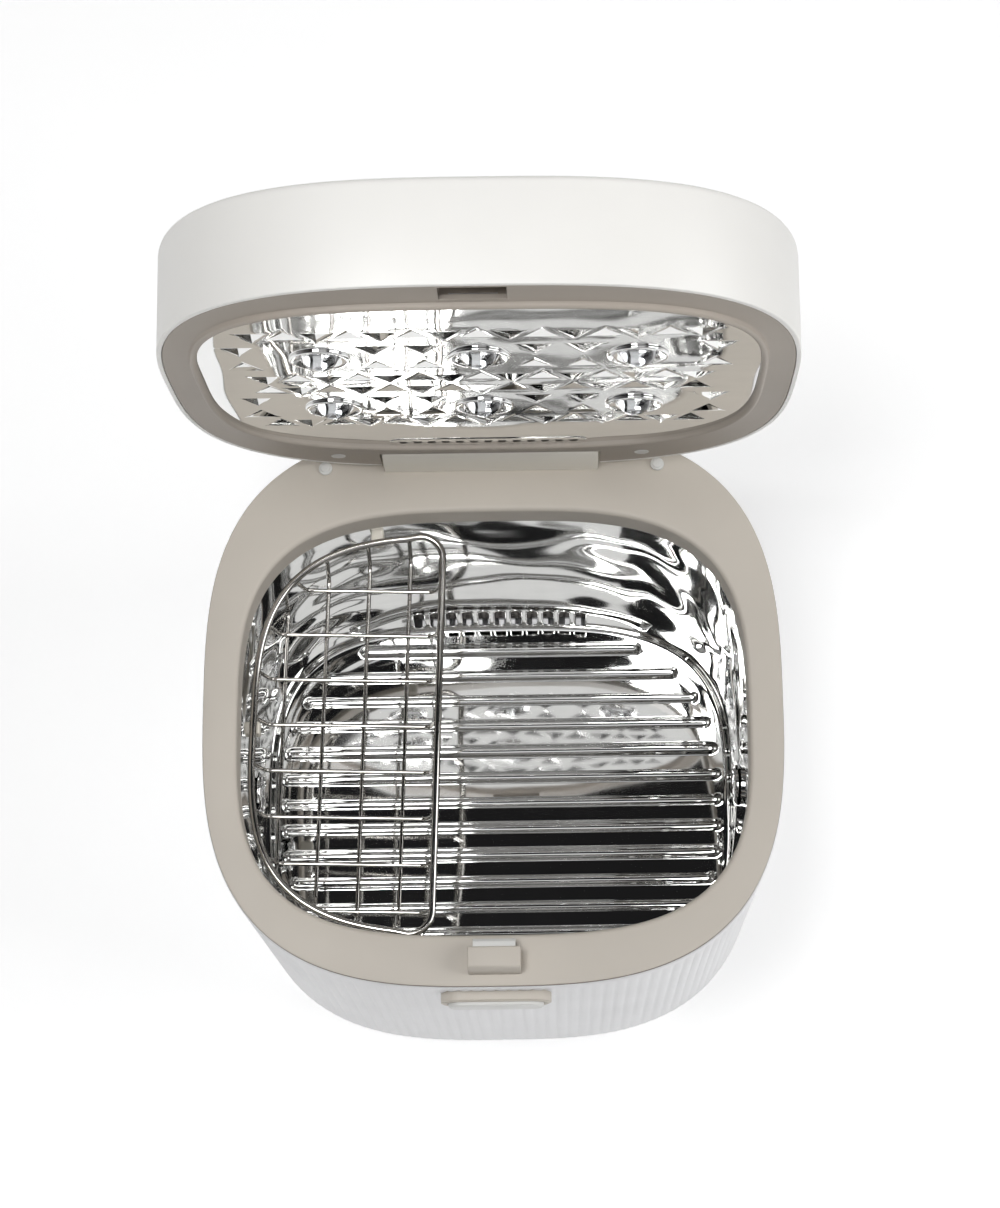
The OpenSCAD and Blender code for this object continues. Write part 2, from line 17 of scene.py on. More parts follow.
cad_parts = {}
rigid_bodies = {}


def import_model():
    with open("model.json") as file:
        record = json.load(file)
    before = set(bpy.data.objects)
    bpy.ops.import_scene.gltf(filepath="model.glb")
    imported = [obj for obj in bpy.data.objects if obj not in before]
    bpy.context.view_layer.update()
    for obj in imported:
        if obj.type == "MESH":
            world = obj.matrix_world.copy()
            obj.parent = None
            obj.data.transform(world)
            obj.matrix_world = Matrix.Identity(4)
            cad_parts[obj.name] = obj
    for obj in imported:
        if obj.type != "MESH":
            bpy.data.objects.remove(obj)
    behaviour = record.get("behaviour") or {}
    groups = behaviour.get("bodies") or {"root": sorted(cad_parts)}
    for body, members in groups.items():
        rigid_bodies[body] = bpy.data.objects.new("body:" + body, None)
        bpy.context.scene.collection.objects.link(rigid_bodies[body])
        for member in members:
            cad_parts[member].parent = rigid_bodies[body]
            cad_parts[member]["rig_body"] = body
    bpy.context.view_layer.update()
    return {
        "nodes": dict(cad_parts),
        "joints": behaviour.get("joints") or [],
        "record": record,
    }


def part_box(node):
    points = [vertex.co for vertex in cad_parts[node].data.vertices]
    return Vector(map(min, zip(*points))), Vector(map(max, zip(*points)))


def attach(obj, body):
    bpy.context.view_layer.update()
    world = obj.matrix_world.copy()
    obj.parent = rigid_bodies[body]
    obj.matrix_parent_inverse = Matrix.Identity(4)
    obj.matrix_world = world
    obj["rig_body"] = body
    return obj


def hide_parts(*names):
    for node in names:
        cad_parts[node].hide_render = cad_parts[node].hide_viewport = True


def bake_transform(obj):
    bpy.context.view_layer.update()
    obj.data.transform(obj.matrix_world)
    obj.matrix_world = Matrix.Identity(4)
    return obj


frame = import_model()

MM = 0.001
scene = bpy.context.scene
record = frame["record"]
slot_of = {row["node"]: row["material_slot"] for row in record["subparts"]}


def extent(node):
    """Lowest and highest corner of a CAD node in millimetres."""
    low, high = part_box(node)
    return low / MM, high / MM


# Sizes that the frame gives
DECK = extent("deck_ring")[1].z
DECK_A, DECK_B = extent("deck_ring")[1].x, extent("deck_ring")[1].y
BODY_A, BODY_B = extent("base_shell")[1].x, extent("base_shell")[1].y
FOOT = extent("foot_ring")[1].z
SHELL_TOP = extent("base_shell")[1].z
LID_A = extent("lid_shell")[1].x
HINGE = Vector(frame["joints"][0]["pos_m"]) / MM
HINGE_H = HINGE.z - DECK

# Sizes that repeat the part's own driving dimensions
PLAN_N, PLAN_STEPS = 3.0, 480
OPEN_N = 3.3
TAPER = 0.982
WALL = 2.4
OPEN_A, OPEN_B, OPEN_Y = 140.5, 120.0, -11.0
LIP = 19.5
FLOOR = -190.0
TUB_TOP = (141.7, 121.5, -11.0)
TUB_FLOOR = (140.0, 112.0, -15.0)
TUB_RIM = -LIP - 0.8
RIB_TOP, RIB_PITCH, RIBS = 81.6, 16.2, 13
SLOTS, SLOT_PITCH, SLOT_R, SLOT_Z = 11, 10.0, 3.6, (-184.0, -166.0)
VENTS, VENT_PITCH, VENT_Y = 13, 7.7, 104.1
SIDE_LAMP = (-27.0, -104.0)
LID_ANGLE = math.radians(-85)
LID_GAP, LID_H = 4.0, 53.0
RIM_A, RIM_B, RIM_Y, RIM_T, RIM_CREST = 142.5, 124.8, -10.2, 3.4, 0.6
LAMPS = [(x, y) for y in (-51.0, 35.2) for x in (-77.8, 0.0, 77.8)]
PLATE_Z = 3.4
WELL_R, WELL_HALF, LID_BACK = 19.0, 61.2, 175
RACK_RIGHT, RACK_CORNER, RACK_DROP = -31.5, 13.0, 21.0
FRAME_WIRE, GRID_WIRE = 4.2, 2.4
RACK_Z = TUB_RIM - 3.4
RACK_TURN = math.radians(-1.7)

AT_DECK = Matrix.Translation((0, 0, DECK))
AT_LID = (
    Matrix.Translation(HINGE)
    @ Matrix.Rotation(LID_ANGLE, 4, "X")
    @ Matrix.Translation((0, -HINGE.y, -HINGE_H))
)
AT_RACK = (
    AT_DECK
    @ Matrix.Translation((-80, -10, 0))
    @ Matrix.Rotation(RACK_TURN, 4, "Z")
    @ Matrix.Translation((80, 10, 0))
)


# ------------------------------------------------------------------ materials


def principled(name, color, roughness, metallic=0.0, **sockets):
    """A material with one Principled shader; sockets are its other inputs, with _ for a space."""
    material = bpy.data.materials.new(name)
    material.use_nodes = True
    shader = material.node_tree.nodes["Principled BSDF"]
    shader.inputs["Base Color"].default_value = (*color, 1)
    shader.inputs["Roughness"].default_value = roughness
    shader.inputs["Metallic"].default_value = metallic
    for socket, value in sockets.items():
        shader.inputs[socket.replace("_", " ")].default_value = value
    return material


def add(material, kind, links=None, **values):
    """A new node in the material, with its inputs' values and links set by name."""
    node = material.node_tree.nodes.new(kind)
    for key, value in values.items():
        node.inputs[key.replace("_", " ")].default_value = value
    for key, source in (links or {}).items():
        material.node_tree.links.new(source, node.inputs[key])
    return node


def noise(material, scale, detail=2.0, stretch=(1, 1, 1)):
    """Noise over the object's own coordinates, in features per metre."""
    coords = add(material, "ShaderNodeTexCoord").outputs["Object"]
    mapping = add(material, "ShaderNodeMapping", {"Vector": coords}, Scale=stretch)
    texture = add(
        material,
        "ShaderNodeTexNoise",
        {"Vector": mapping.outputs["Vector"]},
        Scale=scale,
        Detail=detail,
    )
    return texture.outputs["Fac"]


def feed(material, socket, source):
    shader = material.node_tree.nodes["Principled BSDF"]
    material.node_tree.links.new(source, shader.inputs[socket])


def mottle(material, factor, dark, light):
    """Base colour that drifts between two close shades."""
    ramp = add(material, "ShaderNodeValToRGB", {"Fac": factor})
    ramp.color_ramp.elements[0].position = 0.3
    ramp.color_ramp.elements[0].color = (*dark, 1)
    ramp.color_ramp.elements[1].position = 0.7
    ramp.color_ramp.elements[1].color = (*light, 1)
    feed(material, "Base Color", ramp.outputs["Color"])


def vary_roughness(material, factor, low, high):
    spread = add(material, "ShaderNodeMapRange", {"Value": factor}, To_Min=low, To_Max=high)
    feed(material, "Roughness", spread.outputs["Result"])


def bump(material, height, depth_mm, strength=0.5):
    depth = depth_mm * MM
    node = add(material, "ShaderNodeBump", {"Height": height}, Strength=strength, Distance=depth)
    feed(material, "Normal", node.outputs["Normal"])


def shade(color, factor):
    return tuple(min(1.0, c * factor) for c in color)


def moulded(name, color, roughness, grain=0.05, spread=0.03):
    """Moulded plastic: fine spark-eroded grain, faint flow shades and an uneven sheen."""
    material = principled(name, color, roughness)
    mottle(material, noise(material, 14, 3), shade(color, 1 - spread), shade(color, 1 + spread))
    vary_roughness(material, noise(material, 60, 3), roughness - 0.05, roughness + 0.06)
    bump(material, noise(material, 1400, 3), grain, 0.35)
    return material


def polished(name, color, roughness, ripple=0.0):
    """Polished metal with faint polishing haze and, where wanted, a shallow ripple."""
    material = principled(name, color, roughness, 1.0)
    haze = noise(material, 45, 4, (1, 1, 2.5))
    mottle(material, haze, shade(color, 0.97), shade(color, 1.02))
    vary_roughness(material, noise(material, 120, 4), roughness * 0.5, roughness * 1.6)
    if ripple:
        bump(material, noise(material, 38, 1), ripple, 1.0)
    return material


def circuit():
    material = moulded("circuit_board", (0.05, 0.20, 0.10), 0.45)
    coords = add(material, "ShaderNodeTexCoord").outputs["Object"]
    tracks = add(material, "ShaderNodeTexVoronoi", {"Vector": coords}, Scale=420.0)
    bump(material, tracks.outputs["Distance"], 0.08)
    return material


def brushed():
    material = principled("plain_steel", (0.55, 0.55, 0.56), 0.3, 1.0)
    lines = noise(material, 260, 3, (1, 1, 9))
    vary_roughness(material, lines, 0.22, 0.4)
    bump(material, lines, 0.02, 0.4)
    return material


def foam():
    material = principled("filter_foam", (0.60, 0.60, 0.58), 0.9)
    coords = add(material, "ShaderNodeTexCoord").outputs["Object"]
    cells = add(material, "ShaderNodeTexVoronoi", {"Vector": coords}, Scale=700.0)
    bump(material, cells.outputs["Distance"], 0.6, 0.8)
    return material


TAUPE = (0.550, 0.506, 0.446)
MATERIALS = {
    "white_shell": moulded("white_shell", (0.80, 0.80, 0.81), 0.42),
    "warm_white_shell": moulded("warm_white_shell", (0.86, 0.85, 0.82), 0.38, 0.03, 0.015),
    "taupe_deck": moulded("taupe_deck", TAUPE, 0.55),
    # taupe_ring is the deck's taupe plastic at about 0.7 of its brightness: painted shade for the
    # lid ring, which faces the front and gets little light.
    "taupe_ring": moulded("taupe_ring", (0.400, 0.356, 0.308), 0.52),
    "white_button": moulded("white_button", (0.66, 0.66, 0.64), 0.40),
    # cream_cover is the hinge cover's own cream, made lighter as painted light standing in for
    # light thrown up from the polished tub.
    "cream_cover": moulded("cream_cover", (0.94, 0.91, 0.83), 0.50),
    "mirror_steel": polished("mirror_steel", (0.83, 0.83, 0.82), 0.035),
    "polished_wire": polished("polished_wire", (0.62, 0.60, 0.57), 0.10),
    "chrome_ring": polished("chrome_ring", (0.88, 0.88, 0.88), 0.05),
    "clear_lens": principled(
        "clear_lens",
        (0.97, 0.98, 0.99),
        0.02,
        IOR=1.25,
        Transmission_Weight=1.0,
        Coat_Weight=1.0,
    ),
    "silicone": moulded("silicone", (0.74, 0.70, 0.62), 0.60),
    "rubber": moulded("rubber", (0.05, 0.05, 0.05), 0.80, 0.1),
    "plain_steel": brushed(),
    "dark_plastic": moulded("dark_plastic", (0.06, 0.06, 0.065), 0.55),
    "filter_foam": foam(),
    "circuit_board": circuit(),
    "dark_glass": moulded("dark_glass", (0.02, 0.02, 0.022), 0.14, 0.01),
}
# Darker brown for the deck's upright outer edge: painted shade, as that face gets less light from
# above.
DECK_EDGE_PAINTED_SHADE = moulded("deck_edge_painted_shade", (0.115, 0.080, 0.060), 0.5)
SLOT_GREY = polished("slot_mesh_grey", (0.30, 0.28, 0.26), 0.45)
LAMP_DISH = polished("lamp_dish", (0.95, 0.95, 0.94), 0.28)
LED_AMBER = principled("led_amber", (0.80, 0.62, 0.25), 0.35)
vary_roughness(LED_AMBER, noise(LED_AMBER, 900), 0.25, 0.5)

for node_name, node_object in frame["nodes"].items():
    node_object.data.materials.clear()
    node_object.data.materials.append(MATERIALS[slot_of[node_name]])
frame["nodes"]["slot_mesh"].data.materials[0] = SLOT_GREY


# ------------------------------------------------------------------ outlines and lofts


def outline(angles, a, b, n, y=0.0):
    """Points of a squarish ellipse at these angles. a and b may be arrays, one value a point."""
    c, s = np.cos(angles), np.sin(angles)
    return a * np.sign(c) * np.abs(c) ** (2 / n), y + b * np.sign(s) * np.abs(s) ** (2 / n)


def even_angles(a, b, n, count):
    """Angles that space an outline's points evenly along its length."""
    fine = np.linspace(0, 2 * math.pi, 20001)
    x, y = outline(fine, a, b, n)
    run = np.concatenate([[0], np.cumsum(np.hypot(np.diff(x), np.diff(y)))])
    return np.interp(np.arange(count) * run[-1] / count, run, fine)


def half_width(at, along, across, n):
    """Half a squarish ellipse's width across, at this distance from its centre along."""
    return across * (1 - (abs(at) / along) ** n) ** (1 / n)


def in_oval(x, y, a, b, n, y0):
    """Below 1 inside a squarish ellipse centred at (0, y0), above 1 outside it."""
    return (abs(x) / a) ** n + (abs(y - y0) / b) ** n


def ring(angles, a, b, n, z, y=0.0):
    x, y = outline(angles, a, b, n, y)
    return np.column_stack([x, y, np.broadcast_to(z, x.shape)])


def loft(rings, closed=False):
    """Points and faces of a skin through equal rings; closed joins the last ring to the first."""
    count = len(rings[0])
    last = len(rings) if closed else len(rings) - 1
    faces = []
    for k in range(last):
        low, high = k * count, (k + 1) % len(rings) * count
        for i in range(count):
            j = (i + 1) % count
            faces.append((low + i, low + j, high + j, high + i))
    return np.concatenate(rings), faces


def capped(rings):
    """A loft along the rings whose two ends are closed by one face each."""
    points, faces = loft(rings)
    count = len(rings[0])
    faces.append(tuple(range(count - 1, -1, -1)))
    faces.append(tuple(range((len(rings) - 1) * count, len(rings) * count)))
    return points, faces


def prism(shape, low, high, axis="y"):
    """Points and faces of a flat shape drawn in the other two axes and drawn out along this one."""
    order = {"x": (2, 0, 1), "y": (0, 2, 1), "z": (0, 1, 2)}[axis]
    flat = [np.column_stack([shape, np.full(len(shape), level)])[:, order] for level in (low, high)]
    return capped(flat)


def block(low, high):
    (x0, y0, z0), (x1, y1, z1) = low, high
    return prism(np.array([(x0, y0), (x1, y0), (x1, y1), (x0, y1)], float), z0, z1, "z")


def arc(centre, radius, start, end, steps=8):
    turns = np.radians(np.linspace(start, end, steps + 1))
    return np.column_stack([centre[0] + radius * np.cos(turns), centre[1] + radius * np.sin(turns)])


def capsule(centre, width, height, steps=10):
    """Outline of a slot with round ends, along its longer side."""
    radius = min(width, height) / 2
    if width >= height:
        shift, first = (width / 2 - radius, 0.0), -90
    else:
        shift, first = (0.0, height / 2 - radius), 0
    ends = []
    for sign, turn in ((1, 0), (-1, 180)):
        at = (centre[0] + sign * shift[0], centre[1] + sign * shift[1])
        ends.append(arc(at, radius, first + turn, first + turn + 180, steps))
    return np.concatenate(ends)


def lathe(profile, steps=48):
    """A profile of (radius, height) points turned about Z."""
    turns = np.linspace(0, 2 * math.pi, steps, endpoint=False)
    x, y = np.cos(turns), np.sin(turns)
    return capped([np.column_stack([r * x, r * y, np.full(steps, z)]) for r, z in profile])


def lens(radius, base, edge, rise, degrees):
    """Profile of a lens: a straight edge, then a dome that rises this far, in steps of degrees."""
    turns = np.radians(range(degrees, 90, degrees))
    dome = [(radius * math.cos(t), edge + rise * math.sin(t)) for t in turns]
    return [(radius, base), (radius, edge)] + dome


def joined(parts):
    """Several (points, faces) as one."""
    points, faces, start = [], [], 0
    for part_points, part_faces in parts:
        points.append(part_points)
        faces.extend(tuple(i + start for i in face) for face in part_faces)
        start += len(part_points)
    return np.concatenate(points), faces


def moved(part, matrix):
    points = np.array([tuple(matrix @ Vector(p)) for p in part[0]])
    return points, part[1]


# ------------------------------------------------------------------ pieces


def smooth(mesh, angle):
    mesh.shade_smooth()
    mesh.set_sharp_from_angle(angle=math.radians(angle))


def mesh_object(name, part, place, mend=True):
    """A mesh from points in millimetres, put in place; mend turns its faces outwards."""
    points = np.asarray(part[0], float)
    matrix = np.array(place)
    points = (points @ matrix[:3, :3].T + matrix[:3, 3]) * MM
    mesh = bpy.data.meshes.new(name)
    mesh.from_pydata(points.tolist(), [], [tuple(int(i) for i in face) for face in part[1]])
    if mend:
        shape = bmesh.new()
        shape.from_mesh(mesh)
        bmesh.ops.recalc_face_normals(shape, faces=shape.faces)
        shape.to_mesh(mesh)
        shape.free()
    obj = bpy.data.objects.new(name, mesh)
    scene.collection.objects.link(obj)
    return obj


def carve(obj, cutters, place):
    """Cuts closed shapes out of a closed piece."""
    tool = mesh_object("cutter", joined(cutters), place)
    modifier = obj.modifiers.new("carve", "BOOLEAN")
    modifier.object = tool
    modifier.solver = "EXACT"
    modifier.use_self = True
    graph = bpy.context.evaluated_depsgraph_get()
    cut = bpy.data.meshes.new_from_object(obj.evaluated_get(graph))
    obj.modifiers.clear()
    obj.data = cut
    bpy.data.objects.remove(tool)


def finish_piece(obj, node, angle=35, material=None, stands_for=True):
    """Shades a piece, gives it a material and makes it ride with the node that it belongs to."""
    smooth(obj.data, angle)
    obj.data.materials.clear()
    obj.data.materials.append(material or MATERIALS[slot_of[node]])
    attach(obj, frame["nodes"][node]["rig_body"])
    if stands_for:
        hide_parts(node)
    return obj


def piece(name, part, node, place=AT_DECK, cutters=(), **finish):
    obj = mesh_object(name, part, place)
    if cutters:
        carve(obj, cutters, place)
    return finish_piece(obj, node, **finish)


def soften(node, name, width):
    """A piece with the CAD node's shape and its edges rounded to this width in millimetres."""
    shape = bmesh.new()
    shape.from_mesh(frame["nodes"][node].data)
    bmesh.ops.remove_doubles(shape, verts=shape.verts, dist=2e-6)
    bmesh.ops.dissolve_limit(
        shape,
        angle_limit=math.radians(1.0),
        verts=shape.verts,
        edges=shape.edges,
        use_dissolve_boundaries=False,
    )
    sharp = math.radians(32)
    joints = [e for e in shape.edges if len(e.link_faces) == 2]
    bmesh.ops.bevel(
        shape,
        geom=[e for e in joints if e.calc_face_angle(0) > sharp],
        offset=width * MM,
        offset_type="OFFSET",
        segments=3,
        profile=0.5,
        affect="EDGES",
        clamp_overlap=True,
    )
    bmesh.ops.recalc_face_normals(shape, faces=shape.faces)
    mesh = bpy.data.meshes.new(name)
    shape.to_mesh(mesh)
    shape.free()
    obj = bpy.data.objects.new(name, mesh)
    scene.collection.objects.link(obj)
    finish_piece(obj, node)


def wires(name, paths, diameter, node, place, closed=False):
    """Round wires along paths of points, as one curve piece."""
    curve = bpy.data.curves.new(name, "CURVE")
    curve.dimensions = "3D"
    curve.bevel_depth = diameter / 2 * MM
    curve.bevel_resolution = 4
    curve.use_fill_caps = True
    for path in paths:
        spline = curve.splines.new("POLY")
        spline.points.add(len(path) - 1)
        for point, at in zip(spline.points, path):
            point.co = (*(place @ Vector(at) * MM), 1)
        spline.use_cyclic_u = closed
        spline.use_smooth = True
    obj = bpy.data.objects.new(name, curve)
    scene.collection.objects.link(obj)
    curve.materials.append(MATERIALS[slot_of[node]])
    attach(obj, frame["nodes"][node]["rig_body"])
    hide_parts(node)


def bent(path, radius, steps=5):
    """The path with each corner rounded, as a wire is bent."""
    points = [Vector(p) for p in path]
    result = [points[0]]
    for before, corner, after in zip(points, points[1:], points[2:]):
        back = (before - corner).normalized() * min(radius, (before - corner).length / 2.2)
        on = (after - corner).normalized() * min(radius, (after - corner).length / 2.2)
        for i in range(steps + 1):
            t = i / steps
            result.append(corner + back * (1 - t) ** 2 + on * t**2)
    result.append(points[-1])
    return result


# ------------------------------------------------------------------ base


def base_shell():
    """Fluted casing: shallow round flutes that fade out at the foot and under the deck."""
    flutes, per_flute, depth, foot_r = 164, 8, 0.75, 3
    angles = even_angles(BODY_A, BODY_B, PLAN_N, flutes * per_flute)
    phase = np.arange(flutes * per_flute) % per_flute / per_flute
    groove = (1 - np.abs(np.sin(math.pi * phase)) ** 0.8) * depth
    height = SHELL_TOP - FOOT

    def level(z, inset, share):
        """Outline at this height, moved in, with this share of the flutes' depth."""
        grow = TAPER + (1 - TAPER) * (z - FOOT) / height
        cut = inset + groove * share
        return ring(angles, BODY_A * grow - cut, BODY_B * grow - cut, PLAN_N, z)

    outer = []
    for turn in (0.0, 0.5, 1.05, 1.57):
        c, s = math.cos(turn), math.sin(turn)
        outer.append(level(FOOT + foot_r * (1 - c), foot_r * (1 - s), 0.2 * s))
    outer += [level(FOOT + 10, 0, 0.5), level(FOOT + 20, 0, 0.9)]
    outer += [level(z, 0, 1) for z in (60, 120, 170, 206)]
    outer += [level(211, 0, 0.8), level(215, 0, 0.4), level(219, 0, 0.0)]
    outer += [level(SHELL_TOP - down, inset, 0) for down, inset in ((0.6, 0), (0.2, 0.2), (0, 0.7))]
    inner = [level(SHELL_TOP, WALL, 0), level(FOOT, WALL, 0)]
    back, front = 170, -175
    cutters = []
    for node, depth_y, gap in (("inlet_grille", 140, 0.3), ("power_inlet", 120, 0.4)):
        low, high = extent(node)
        corner = (low.x - gap, depth_y, low.z - gap)
        cutters.append(block(corner, (high.x + gap, back, high.z + gap)))
    button_hole = capsule((0, DECK - 26), 60.4, 22.4)
    cutters.append(prism(button_hole, front, -140))
    shell = loft(outer + inner, closed=True)
    piece("fluted_shell", shell, "base_shell", Matrix(), cutters, angle=50)


def deck_ring():
    """Deck with a rounded opening, a lip down to the steel tub and its upright outer edge painted
    darker as shade.
    """
    angles = even_angles(DECK_A, DECK_B, PLAN_N, PLAN_STEPS)
    fillet, edge, thick, lip_thick = 2.8, 0.7, 3, 2.2

    def outer(inset, z):
        return ring(angles, DECK_A - inset, DECK_B - inset, PLAN_N, z)

    def inner(grow, z):
        return ring(angles, OPEN_A + grow, OPEN_B + grow, OPEN_N, z, OPEN_Y)

    quarter = np.radians(np.linspace(0, 90, 7))
    rings = [outer(0.5, -thick), outer(0, -2.6)]
    rings += [outer(edge * (1 - math.cos(t)), -edge * (1 - math.sin(t))) for t in quarter[::2]]
    rings += [inner(fillet * (1 - math.sin(t)), -fillet * (1 - math.cos(t))) for t in quarter]
    rings += [inner(0, -LIP + 0.4), inner(0.4, -LIP)]
    rings += [inner(lip_thick, -LIP), inner(lip_thick, -thick)]
    obj = piece("deck", loft(rings, closed=True), "deck_ring")
    # A second material, the darker brown of painted shade, for the upright outer faces picked out
    # below.
    obj.data.materials.append(DECK_EDGE_PAINTED_SHADE)
    for face in obj.data.polygons:
        at = face.center / MM
        upright = DECK - thick < at.z < DECK - 0.25 and abs(face.normal.z) < 0.75
        if upright and in_oval(at.x, at.y, DECK_A, DECK_B, PLAN_N, 0) > 0.95:
            face.material_index = 1


def hills(seed, count, longest, shortest):
    """Smooth random hills over a plane: waves of random direction, length and phase."""
    draw = random.Random(seed)
    waves = []
    for _ in range(count):
        length = draw.uniform(shortest, longest)
        turn = draw.uniform(0, math.pi)
        k = 2 * math.pi / length
        phase = draw.uniform(0, 6.28)
        waves.append((k * math.cos(turn), k * math.sin(turn), phase, length / longest))

    def height(u, v):
        return sum(size * np.sin(kx * u + ky * v + phase) for kx, ky, phase, size in waves) / count

    return height


TUB_COUNT = 420
TUB_ROUND = 830  # about the tub's length all round
SLOT_COLUMNS = (TUB_COUNT // 4 - 31, TUB_COUNT // 4 + 31)  # steps round the tub
SLOT_LEVELS = (-160.0, -163.0, -170.0, -177.0, -184.0, -189.0)
tub_angles = even_angles(*TUB_TOP[:2], OPEN_N, TUB_COUNT)
wall_hills = hills(5, 9, 150, 60)
dents = hills(11, 7, 60, 24)


def tub_wall(step, z, inset=0.0, wavy=1.0):
    """Points on the tub's inner wall, at this step round the outline or between two steps."""
    share = (np.asarray(z, float) - TUB_RIM) / (FLOOR - TUB_RIM)
    a, b, y = (top + (low - top) * share for top, low in zip(TUB_TOP, TUB_FLOOR))
    whole = np.append(tub_angles, 2 * math.pi)
    angle = np.interp(np.asarray(step, float) % TUB_COUNT, np.arange(TUB_COUNT + 1), whole)
    around = np.asarray(step, float) % TUB_COUNT / TUB_COUNT * TUB_ROUND
    corner = np.abs(np.sin(2 * angle)) ** 2
    fade = np.clip(share * 6, 0, 1) * np.clip((1 - share) * 7, 0, 1) * wavy
    swell = 2.2 * wall_hills(around, z * 1.2) + (0.25 + 1.1 * corner) * dents(around, z * 0.8)
    push = inset + np.clip(swell, -1.6, 1.6) * fade
    x, y = outline(angle, a - push, b - push, OPEN_N, y)
    return np.column_stack([x, y, np.broadcast_to(z, np.shape(x))])


def slot_grid():
    """The slotted patch's steps round the tub, and the X of each at the slots' middle."""
    columns = np.arange(SLOT_COLUMNS[0], SLOT_COLUMNS[1] + 1)
    return columns, tub_wall(columns, sum(SLOT_Z) / 2, wavy=0)[:, 0]


def slot_outlines(wider=0.0):
    """Each air slot's outline, as steps round the tub and heights."""
    columns, middle = slot_grid()
    height = SLOT_Z[1] - SLOT_Z[0] + 2 * SLOT_R + wider
    outlines = []
    for i in range(SLOTS):
        x = (i - (SLOTS - 1) / 2) * SLOT_PITCH
        shape = capsule((x, sum(SLOT_Z) / 2), 2 * SLOT_R + wider, height, 8)
        outlines.append((np.interp(-shape[:, 0], -middle, columns), shape[:, 1]))
    return outlines


def tub_slots():
    """The slotted patch of the rear wall, as points and faces that meet the plain wall's grid."""
    columns, middle = slot_grid()
    points = [Vector((c, z)) for z in SLOT_LEVELS for c in columns]
    edges = []
    for steps, heights in slot_outlines():
        start, count = len(points), len(steps)
        points += [Vector((s, z)) for s, z in zip(steps, heights)]
        edges += [(start + k, start + (k + 1) % count) for k in range(count)]
    done = delaunay_2d_cdt(points, edges, [], 0, 1e-5)
    flat, faces = np.array([tuple(p) for p in done[0]]), done[2]
    last_slot = (SLOTS - 1) / 2
    kept = []
    for face in faces:
        step, z = flat[list(face)].mean(axis=0)
        x = float(np.interp(step, columns, middle))
        nearest = round(x / SLOT_PITCH)
        past_end = abs(z - min(max(z, SLOT_Z[0]), SLOT_Z[1]))
        away = math.hypot(x - nearest * SLOT_PITCH, past_end)
        if abs(nearest) > last_slot or away >= SLOT_R - 0.05:
            kept.append(tuple(face))
    return tub_wall(flat[:, 0], flat[:, 1]), kept


def steel_tub():
    """Mirror-polished tub walls: a flange, slightly buckled sides and a tight lower corner."""
    corner_r, flange = 3.2, 5
    steps = np.arange(TUB_COUNT)
    slots_top, slots_low = SLOT_LEVELS[0], SLOT_LEVELS[-1]
    a, b, y = TUB_TOP
    rings = [ring(tub_angles, a + out, b + out, OPEN_N, TUB_RIM, y) for out in (flange, 0.5)]
    levels = [TUB_RIM - 0.5, -30, -38, -46, *np.arange(-54, slots_top, -6.0), slots_top]
    rings += [tub_wall(steps, z) for z in levels]
    lower = [tub_wall(steps, z) for z in (*SLOT_LEVELS[:-1], slots_low + corner_r - 1)]
    points, faces = loft(lower)
    first, last = SLOT_COLUMNS
    plain = (points, [f for f in faces if not first <= f[0] % TUB_COUNT < last])
    turn = [lower[-1]]
    for t in np.radians(np.linspace(0, 90, 6)):
        z = FLOOR + corner_r * (1 - math.sin(t))
        turn.append(tub_wall(steps, z, corner_r * (1 - math.cos(t))))
    a, b, y = TUB_FLOOR
    inset = corner_r + 1.5
    turn.append(ring(tub_angles, a - inset, b - inset, OPEN_N, FLOOR - 0.4, y))
    parts = joined([loft(rings), plain, tub_slots(), loft(turn)])
    obj = mesh_object("tub_walls", parts, AT_DECK, mend=False)
    shape = bmesh.new()
    shape.from_mesh(obj.data)
    bmesh.ops.remove_doubles(shape, verts=shape.verts, dist=0.02 * MM)
    bmesh.ops.recalc_face_normals(shape, faces=shape.faces)
    shape.to_mesh(obj.data)
    shape.free()
    finish_piece(obj, "chamber_liner", angle=40)


def tub_floor():
    """Floor sheet with round-ended ribs, trimmed to the tub's outline."""
    a, b, y0 = TUB_FLOOR[0] - 3.0, TUB_FLOOR[1] - 3.0, TUB_FLOOR[2]
    rib_r, rib_h, rib_end, longest = 3.4, 2.6, 10, 131
    rib_a, rib_n = 141, 2.7  # the ribs' ends follow a rounder outline than the floor's
    xs = np.arange(-a - 1.4, a + 1.5, 1.4)
    ys = np.arange(-b - 0.8, b + 0.9, 0.8) + y0
    gx, gy = np.meshgrid(xs, ys)
    z = 0.45 * hills(23, 8, 140, 50)(gx, gy)
    for i in range(RIBS):
        y = RIB_TOP - RIB_PITCH * i
        half = min(longest, half_width(y - y0, TUB_FLOOR[1], rib_a, rib_n) - rib_end)
        away = np.hypot(np.clip(np.abs(gx) - half, 0, None), gy - y)
        crown = np.sqrt(np.clip(1 - (away / rib_r) ** 2, 0, 1))
        z += rib_h * crown * np.clip((rib_r + 0.5 - away) / 0.8, 0, 1)
    level = in_oval(gx, gy, a, b, OPEN_N, y0)
    over = np.clip(level, 1, None) ** (-1 / OPEN_N)
    px, py = gx * over, (gy - y0) * over + y0
    z *= np.clip((1 - level) * 12, 0, 1)
    points = np.column_stack([px.ravel(), py.ravel(), (FLOOR + z).ravel()])
    wide = len(xs)
    inside = (level < 1).ravel()
    faces = []
    for k in range(len(ys) - 1):
        for i in range(wide - 1):
            corners = (k * wide + i, k * wide + i + 1, (k + 1) * wide + i + 1, (k + 1) * wide + i)
            if inside[list(corners)].any():
                faces.append(corners)
    obj = mesh_object("tub_floor", (points, faces), AT_DECK, mend=False)
    finish_piece(obj, "chamber_liner", angle=60)


def slot_rims():
    """Rolled rims round the air slots."""
    paths = [tub_wall(*outline).tolist() for outline in slot_outlines(0.2)]
    wires("slot_rims", paths, 0.9, "chamber_liner", AT_DECK, closed=True)


